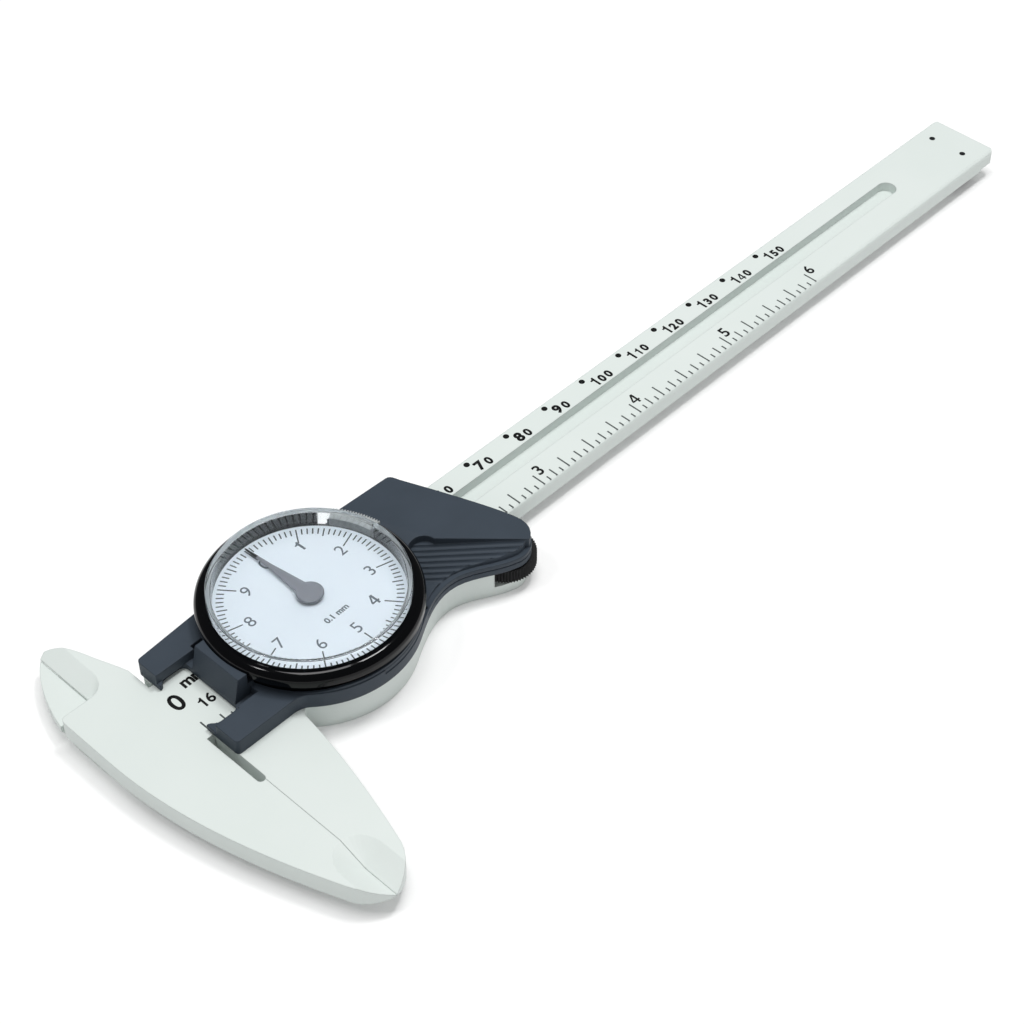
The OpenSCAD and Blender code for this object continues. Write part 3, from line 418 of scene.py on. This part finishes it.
def bend(centre_r, centre_z, radius, start, end, count, squash=1.0):
    """Points of an arc in a profile, angles in degrees."""
    turns = [math.radians(start + (end - start) * k / count) for k in range(count + 1)]
    return [(centre_r + radius * math.cos(a), centre_z + radius * squash * math.sin(a)) for a in turns]


def smooth(mesh, angle):
    """Smooth shading, with edges sharper than the angle left sharp."""
    mesh.shade_smooth()
    mesh.set_sharp_from_angle(angle=math.radians(angle))


low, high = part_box("bezel_ring")
FOOT, TOP = low.z / MM, high.z / MM
FLANGE_R, NECK_R, RIM_R = 17.25, 17.8, 18.9
SKIRT_Z, SHELF_Z = FOOT + 1.9, FOOT + 1.15
ROUND_R, ROUND_H = 1.7, 1.5
# Kept part of the turn, in degrees; the tab has the rest
BEZEL_FROM, BEZEL_TO = 43.3, 367.3
ring = revolve([(FLANGE_R, FOOT), (NECK_R, FOOT), (NECK_R, SKIRT_Z), (RIM_R - 0.2, SKIRT_Z), (RIM_R, SKIRT_Z + 0.2)]
               + bend(RIM_R - ROUND_R, TOP - ROUND_H, ROUND_R, 0, 90, 14, ROUND_H / ROUND_R)
               + [(LIP_R, TOP), (LIP_R, SHELF_Z), (FLANGE_R, SHELF_Z)], DIAL_C, 200, BEZEL_FROM, BEZEL_TO)
smooth(ring, 35)
rim = new_piece("bezel_rim", ring, gloss_black, "slider")
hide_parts("bezel_ring")

# Dull black with a slight grey bloom
rubber, tree, shader = finish_named("black_rubber", Roughness=0.75, IOR=1.5)
place = add(tree, "ShaderNodeTexCoord").outputs["Object"]
bloom = add(tree, "ShaderNodeTexNoise", {"Vector": place, "Scale": 1500.0, "Detail": 3.0})
tint = add(tree, "ShaderNodeMix", {"Factor": bloom.outputs["Fac"], "A": linear("#0d0d0f"), "B": linear("#18181a")},
           data_type="RGBA")
tree.links.new(tint.outputs["Result"], shader.inputs["Base Color"])
dress(rubber, "friction_ring", "thumb_wheel")

# ---------------------------------------------------------------- Dial
# A white plastic disc with a hundred printed divisions; every fifth is longer and every tenth longer
# still, with a numeral inside it. The dial was set a little anticlockwise.

DIAL_TOP, DIAL_R, DIAL_BORE = 11.5, 16.75, 1.1
LIP_SHADE_R = 15.98
DIAL_TURN = 2.7

# Cool white enamel; outside the divisions the disc is painted grey as painted shade from the bezel's lip, which gives
# the crystal's edge its grey
dial_white, tree, shader = finish_named("dial_white_enamel", Roughness=0.5, IOR=1.5)
place = add(tree, "ShaderNodeTexCoord").outputs["Object"]
cloud = add(tree, "ShaderNodeTexNoise", {"Vector": place, "Scale": 90.0, "Detail": 2.0})
tint = add(tree, "ShaderNodeMix", {"Factor": cloud.outputs["Fac"], "A": linear("#edf3f9"), "B": linear("#f2f7fb")},
           data_type="RGBA")
# Painted shade: beyond this radius the disc is coloured grey for the shade under the bezel's lip
lip_shade_mask = add(tree, "ShaderNodeMath", {0: off_axis(tree, place), 1: LIP_SHADE_R * MM}, operation="GREATER_THAN")
with_lip_shade = add(tree, "ShaderNodeMix", {"Factor": lip_shade_mask.outputs[0], "A": tint.outputs["Result"],
                                      "B": linear("#bcc0c1")}, data_type="RGBA")
tree.links.new(with_lip_shade.outputs["Result"], shader.inputs["Base Color"])

low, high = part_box("dial_face")
DIAL_LOW = low.z / MM
disc = revolve([(DIAL_BORE, DIAL_LOW), (DIAL_R, DIAL_LOW), (DIAL_R, DIAL_TOP), (DIAL_BORE, DIAL_TOP)], DIAL_C)
smooth(disc, 30)
face = new_piece("dial_disc", disc, dial_white, "dial")
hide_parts("dial_face")

sizes = {"Count": 100, "Outer": 15.4 * MM, "Width": 0.24 * MM, "Tenth": 3.2 * MM, "Fifth": 1.8 * MM,
         "Single": 1.3 * MM, "Thickness": PRINT_T * MM, "Ink": printing_grey}
tree, given = geometry_tree("dial_divisions", sizes)
points = add(tree, "GeometryNodeMeshLine", {"Count": given["Count"], "Offset": (0, 0, 0)})
index = add(tree, "GeometryNodeInputIndex").outputs[0]
short = add(tree, "GeometryNodeSwitch", {"Switch": every(tree, index, 5), "False": given["Single"],
                                         "True": given["Fifth"]}, input_type="FLOAT")
length = add(tree, "GeometryNodeSwitch", {"Switch": every(tree, index, 10), "False": short.outputs[0],
                                          "True": given["Tenth"]}, input_type="FLOAT")
turned = add(tree, "ShaderNodeMath", {0: index, 1: -math.tau / 100}, operation="MULTIPLY")
turn = add(tree, "ShaderNodeMath", {0: turned.outputs[0], 1: math.radians(DIAL_TURN)}, operation="ADD")
spin = add(tree, "ShaderNodeCombineXYZ", {"Z": turn.outputs[0]})
reach = add(tree, "ShaderNodeCombineXYZ", {"Y": given["Outer"]})
outward = add(tree, "ShaderNodeVectorRotate", {"Vector": reach.outputs[0], "Angle": turn.outputs[0]},
              rotation_type="Z_AXIS")
spread = add(tree, "GeometryNodeSetPosition", {"Geometry": points.outputs[0], "Position": outward.outputs[0]})
size = add(tree, "ShaderNodeCombineXYZ", {"X": given["Width"], "Y": length.outputs[0], "Z": given["Thickness"]})
bar = add(tree, "GeometryNodeMeshCube", {"Size": (1, 1, 1)})
lowered = add(tree, "GeometryNodeTransform", {"Geometry": bar.outputs[0], "Translation": (0, -0.5, 0.5)})
ticks = add(tree, "GeometryNodeInstanceOnPoints", {"Points": spread.outputs[0], "Instance": lowered.outputs[0],
                                                   "Rotation": spin.outputs[0], "Scale": size.outputs[0]})
placed = add(tree, "GeometryNodeTransform", {"Geometry": ticks.outputs[0],
                                             "Translation": (DIAL_C.x * MM, DIAL_C.y * MM, DIAL_TOP * MM)})
tree_result(tree, placed.outputs[0], given["Ink"])
run_tree("dial_divisions", tree, sizes, "dial")

# The figures are printed with more white in the ink than the divisions
printing_soft, tree, shader = finish_named("soft_grey_printing", Roughness=0.6, IOR=1.5)
place = add(tree, "ShaderNodeTexCoord").outputs["Object"]
wear = add(tree, "ShaderNodeTexNoise", {"Vector": place, "Scale": 5000.0, "Detail": 2.0})
tint = add(tree, "ShaderNodeMix", {"Factor": wear.outputs["Fac"], "A": linear("#565d64"), "B": linear("#757c83")},
           data_type="RGBA")
tree.links.new(tint.outputs["Result"], shader.inputs["Base Color"])

# Tall figures stand nearer the centre where their corners would touch the divisions
FIGURE_R = (10.7, 11.4, 11.15, 11.05, 10.4, 10.45, 10.6, 11.0, 10.9, 10.6)
FIGURE_H, UNIT_R, UNIT_H = 2.3, 5.9, 1.25
# Words, their distance from the centre, their clock angle, their height and their weight
marks = [(str(figure), FIGURE_R[figure], 90 - 36 * figure, FIGURE_H, 0.0) for figure in range(10)]
marks.append(("0.1 mm", UNIT_R, -90, UNIT_H, 0.03))
parts = []
for words, radius, angle, height, weight in marks:
    a = math.radians(angle + DIAL_TURN)
    spot = (DIAL_C.x + radius * math.cos(a), DIAL_C.y + radius * math.sin(a))
    parts.append(cut_letters(words, spot, height, DIAL_TOP, weight, DIAL_TURN))
new_piece("dial_numerals", joined(parts), printing_soft, "dial")

# ---------------------------------------------------------------- Pointer
# Stamped from thin aluminium and painted grey with a black tip, pressed on the centre arbor.
# The hub is turned from its profile, and the blade is drawn as ribs from the centre to the tip.

TIP_FROM = 12.3

# Even grey paint, black beyond the division marks' inner end
pointer_paint, tree, shader = finish_named("grey_painted_aluminium", Roughness=0.4, IOR=1.5)
place = add(tree, "ShaderNodeTexCoord").outputs["Object"]
cloud = add(tree, "ShaderNodeTexNoise", {"Vector": place, "Scale": 800.0, "Detail": 2.0})
tint = add(tree, "ShaderNodeMix", {"Factor": cloud.outputs["Fac"], "A": linear("#85868c"), "B": linear("#94959c")},
           data_type="RGBA")
at_tip = add(tree, "ShaderNodeMath", {0: off_axis(tree, place), 1: TIP_FROM * MM}, operation="GREATER_THAN")
painted = add(tree, "ShaderNodeMix", {"Factor": at_tip.outputs[0], "A": tint.outputs["Result"],
                                      "B": linear("#0c0d0f")}, data_type="RGBA")
tree.links.new(painted.outputs["Result"], shader.inputs["Base Color"])

POINTER_Z = DIAL_TOP + 0.6
HUB_R, HUB_T, BOSS_R, BOSS_Z = 2.3, 0.5, 1.0, DIAL_TOP - 0.5
hub = revolve([(0, BOSS_Z), (BOSS_R, BOSS_Z), (BOSS_R, POINTER_Z), (HUB_R - 0.15, POINTER_Z),
               (HUB_R, POINTER_Z + 0.12), (HUB_R, POINTER_Z + HUB_T - 0.12), (HUB_R - 0.1, POINTER_Z + HUB_T),
               (0, POINTER_Z + HUB_T)], DIAL_C, 64)
# The blade is pressed into a low roof along its middle: distance from the centre, half width, roof
BLADE = ((0, 1.3, 0.2), (2.2, 1.18, 0.2), (9.0, 0.46, 0.14), (14.9, 0.14, 0.05), (15.2, 0.06, 0.02))
SHEET = 0.15
blade = bmesh.new()
ribs = []
for x, half_width, roof in BLADE:
    section = ((-half_width, 0), (half_width, 0), (half_width, SHEET), (0, SHEET + roof), (-half_width, SHEET))
    ribs.append([blade.verts.new((x * MM, y * MM, (POINTER_Z + z) * MM)) for y, z in section])
for near, far in zip(ribs, ribs[1:]):
    for i in range(len(near)):
        j = (i + 1) % len(near)
        blade.faces.new((near[i], far[i], far[j], near[j]))
blade.faces.new(ribs[0])
blade.faces.new(ribs[-1])
bmesh.ops.recalc_face_normals(blade, faces=blade.faces)
bmesh.ops.transform(blade, matrix=Matrix.Translation((DIAL_C.x * MM, DIAL_C.y * MM, 0))
                    @ Matrix.Rotation(math.radians(90 + DIAL_TURN), 4, "Z"), verts=blade.verts)
arm = bpy.data.meshes.new("arm")
blade.to_mesh(arm)
blade.free()
needle_mesh = joined([hub, arm])
smooth(needle_mesh, 20)
needle = new_piece("pointer_needle", needle_mesh, pointer_paint, "pointer_and_arbor")
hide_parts("pointer")

# ---------------------------------------------------------------- Crystal
# Moulded from clear acrylic with a ridged finger tab, which turns the dial to zero. The window and
# wall are turned from their profile, and the tab is a flat outline with teeth, drawn upwards.

# Clear, with a faint cool tint; lamps light the dial through it as through a thin pane
clear_acrylic, tree, shader = finish_named("clear_acrylic", Roughness=0.02, IOR=1.49, Transmission_Weight=1.0)
shader.inputs["Base Color"].default_value = linear("#fafcfd")
lamp_ray = add(tree, "ShaderNodeLightPath").outputs["Is Shadow Ray"]
pane = add(tree, "ShaderNodeBsdfTransparent", {"Color": linear("#c4c8cb")})
choice = add(tree, "ShaderNodeMixShader", {0: lamp_ray, 1: shader.outputs[0], 2: pane.outputs[0]})
tree.links.new(choice.outputs[0], tree.nodes["Material Output"].inputs["Surface"])

low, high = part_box("crystal")
SHELL, RIM, TOP, FOOT = 0.8, 16.8, high.z / MM, low.z / MM
WALL_FOOT, CORNER, INNER_CORNER = DIAL_TOP + 0.03, 0.14, 0.06
INNER_R, UNDERSIDE = RIM - SHELL, TOP - SHELL
# The wall stands on the dial's border, painted grey as shade under the bezel's lip, which shows up through it
shell = revolve([(INNER_R, WALL_FOOT), (RIM, WALL_FOOT)] + bend(RIM - CORNER, TOP - CORNER, CORNER, 0, 90, 4)
                + [(0, TOP), (0, UNDERSIDE)]
                + bend(INNER_R - INNER_CORNER, UNDERSIDE - INNER_CORNER, INNER_CORNER, 90, 0, 3), DIAL_C, 240)
# Below the dial, a flange under the bezel's shelf holds the crystal down
OUT_R, FLANGE_TOP, RING_TOP = 17.2, FOOT + 0.9, DIAL_LOW - 0.05
flange = revolve([(INNER_R, FOOT), (OUT_R, FOOT), (OUT_R, FLANGE_TOP), (RIM, FLANGE_TOP), (RIM, RING_TOP),
                  (INNER_R, RING_TOP)], DIAL_C, 96)
shell = joined([shell, flange])
smooth(shell, 40)

TAB_FROM, TAB_TO, RIDGES, TAB_H = 9.5, 36.3, 18, 3.7
RIDGE_R, VALLEY_R = 19.1, 18.7
step = (TAB_TO - TAB_FROM) / RIDGES
outline = [(RIM - 0.2, TAB_TO - (TAB_TO - TAB_FROM) * k / 12) for k in range(13)]
for k in range(RIDGES):
    outline += [(RIDGE_R, TAB_FROM + step * (k + 0.15)), (RIDGE_R, TAB_FROM + step * (k + 0.4)),
                (VALLEY_R, TAB_FROM + step * (k + 0.65)), (VALLEY_R, TAB_FROM + step * (k + 0.9))]
tab = bmesh.new()
face = tab.faces.new([tab.verts.new(((DIAL_C.x + r * math.cos(math.radians(a))) * MM,
                                     (DIAL_C.y + r * math.sin(math.radians(a))) * MM, FOOT * MM))
                      for r, a in outline])
grown = bmesh.ops.extrude_face_region(tab, geom=[face])
bmesh.ops.translate(tab, verts=[g for g in grown["geom"] if isinstance(g, bmesh.types.BMVert)],
                    vec=(0, 0, TAB_H * MM))
bmesh.ops.recalc_face_normals(tab, faces=tab.faces)
tab_mesh = bpy.data.meshes.new("tab")
tab.to_mesh(tab_mesh)
tab.free()

# The tab's sides are left matt by its mould, so it looks milky
milky, tree, shader = finish_named("milky_acrylic", Roughness=0.35, IOR=1.49, Transmission_Weight=0.35)
place = add(tree, "ShaderNodeTexCoord").outputs["Object"]
haze = add(tree, "ShaderNodeTexNoise", {"Vector": place, "Scale": 1200.0, "Detail": 3.0})
tint = add(tree, "ShaderNodeMix", {"Factor": haze.outputs["Fac"], "A": linear("#b9bfc0"), "B": linear("#e6eaea")},
           data_type="RGBA")
tree.links.new(tint.outputs["Result"], shader.inputs["Base Color"])
cap = new_piece("crystal_shell", shell, clear_acrylic, "dial")
new_piece("crystal_finger_tab", tab_mesh, milky, "dial")
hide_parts("crystal")

# ---------------------------------------------------------------- Table, light and camera
# The caliper lies on a plain white table under one broad and two small lamps, seen from above its
# jaws by a camera solved from the printed scales.

HALF = 0.7
table_mesh = bpy.data.meshes.new("table")
table_mesh.from_pydata([(-HALF, -HALF, 0), (HALF, -HALF, 0), (HALF, HALF, 0), (-HALF, HALF, 0)], [], [(0, 1, 2, 3)])
table = bpy.data.objects.new("table", table_mesh)
bpy.context.scene.collection.objects.link(table)
# White, with a little glow for the eye and for mirrors. A ray through glass counts as glossy and as
# transmission, so glass gets the glow twice; dull surfaces get none of it.
GLOW = 0.12
table_white = bpy.data.materials.new("white_table")
table_white.use_nodes = True
tree = table_white.node_tree
tree.nodes.clear()
ray = add(tree, "ShaderNodeLightPath").outputs
seen = add(tree, "ShaderNodeMath", {0: ray["Is Camera Ray"], 1: ray["Is Glossy Ray"]}, operation="ADD")
seen = add(tree, "ShaderNodeMath", {0: seen.outputs[0], 1: ray["Is Transmission Ray"]}, operation="ADD")
glow_level = add(tree, "ShaderNodeMath", {0: seen.outputs[0], 1: GLOW}, operation="MULTIPLY")
paper = add(tree, "ShaderNodeBsdfDiffuse", {"Color": linear("#f6f6f6")})
glow = add(tree, "ShaderNodeEmission", {"Color": (1, 1, 1, 1), "Strength": glow_level.outputs[0]})
both = add(tree, "ShaderNodeAddShader", {0: paper.outputs[0], 1: glow.outputs[0]})
tree.links.new(both.outputs[0], add(tree, "ShaderNodeOutputMaterial").inputs["Surface"])
table_mesh.materials.append(table_white)

world = bpy.data.worlds.new("studio")
bpy.context.scene.world = world
world.use_nodes = True
tree = world.node_tree
tree.nodes.clear()
ray = add(tree, "ShaderNodeLightPath").outputs
# The backdrop is white to the camera alone. Dull surfaces get the room's light, and mirrors and
# glass see a dimmer room.
ROOM, MIRRORED = 0.4, 0.13
dim = add(tree, "ShaderNodeMapRange", {"Value": ray["Is Glossy Ray"], "To Min": ROOM, "To Max": MIRRORED})
room = add(tree, "ShaderNodeBackground", {"Color": (1, 1, 1, 1), "Strength": dim.outputs[0]})
backdrop = add(tree, "ShaderNodeBackground", {"Color": (1, 1, 1, 1), "Strength": 1.0})
choice = add(tree, "ShaderNodeMixShader", {0: ray["Is Camera Ray"], 1: room.outputs[0], 2: backdrop.outputs[0]})
tree.links.new(choice.outputs[0], add(tree, "ShaderNodeOutputWorld").inputs["Surface"])


def softbox(name, place, target, width, height, power):
    """Rectangular lamp at a place, aimed at a target, in metres and watts."""
    lamp = bpy.data.lights.new(name, "AREA")
    lamp.shape, lamp.size, lamp.size_y, lamp.energy = "RECTANGLE", width, height, power
    holder = bpy.data.objects.new(name, lamp)
    bpy.context.scene.collection.objects.link(holder)
    # The crystal's shadow already lets the lamps through, so refracted rays pass them by
    holder.visible_transmission = False
    holder.location = place
    holder.rotation_mode = "QUATERNION"
    holder.rotation_quaternion = (Vector(target) - Vector(place)).to_track_quat("-Z", "Y")


softbox("softbox_left", (-0.320, 0.202, 0.806), (0.027, 0, 0), 0.09, 0.09, 0.7)
softbox("softbox_right", (0.339, -0.046, 0.843), (0.027, 0, 0), 0.16, 0.16, 2.3)
softbox("softbox_above", (0.07, 0.05, 0.95), (0.05, 0, 0), 0.35, 0.30, 2.8)

camera = bpy.data.cameras.new("camera")
camera.lens, camera.sensor_width = 76.645, 36.0
camera.clip_start, camera.clip_end = 0.01, 20.0
holder = bpy.data.objects.new("camera", camera)
bpy.context.scene.collection.objects.link(holder)
stand, aim = Vector((-121.574, -189.577, 274.732)) * MM, Vector((67.644, -7.729, 6.0)) * MM
ROLL = math.radians(-0.151)
holder.location = stand
holder.rotation_mode = "QUATERNION"
holder.rotation_quaternion = (aim - stand).to_track_quat("-Z", "Y") @ Quaternion((0, 0, 1), ROLL)
bpy.context.scene.camera = holder
bpy.context.scene.view_settings.view_transform = "Standard"
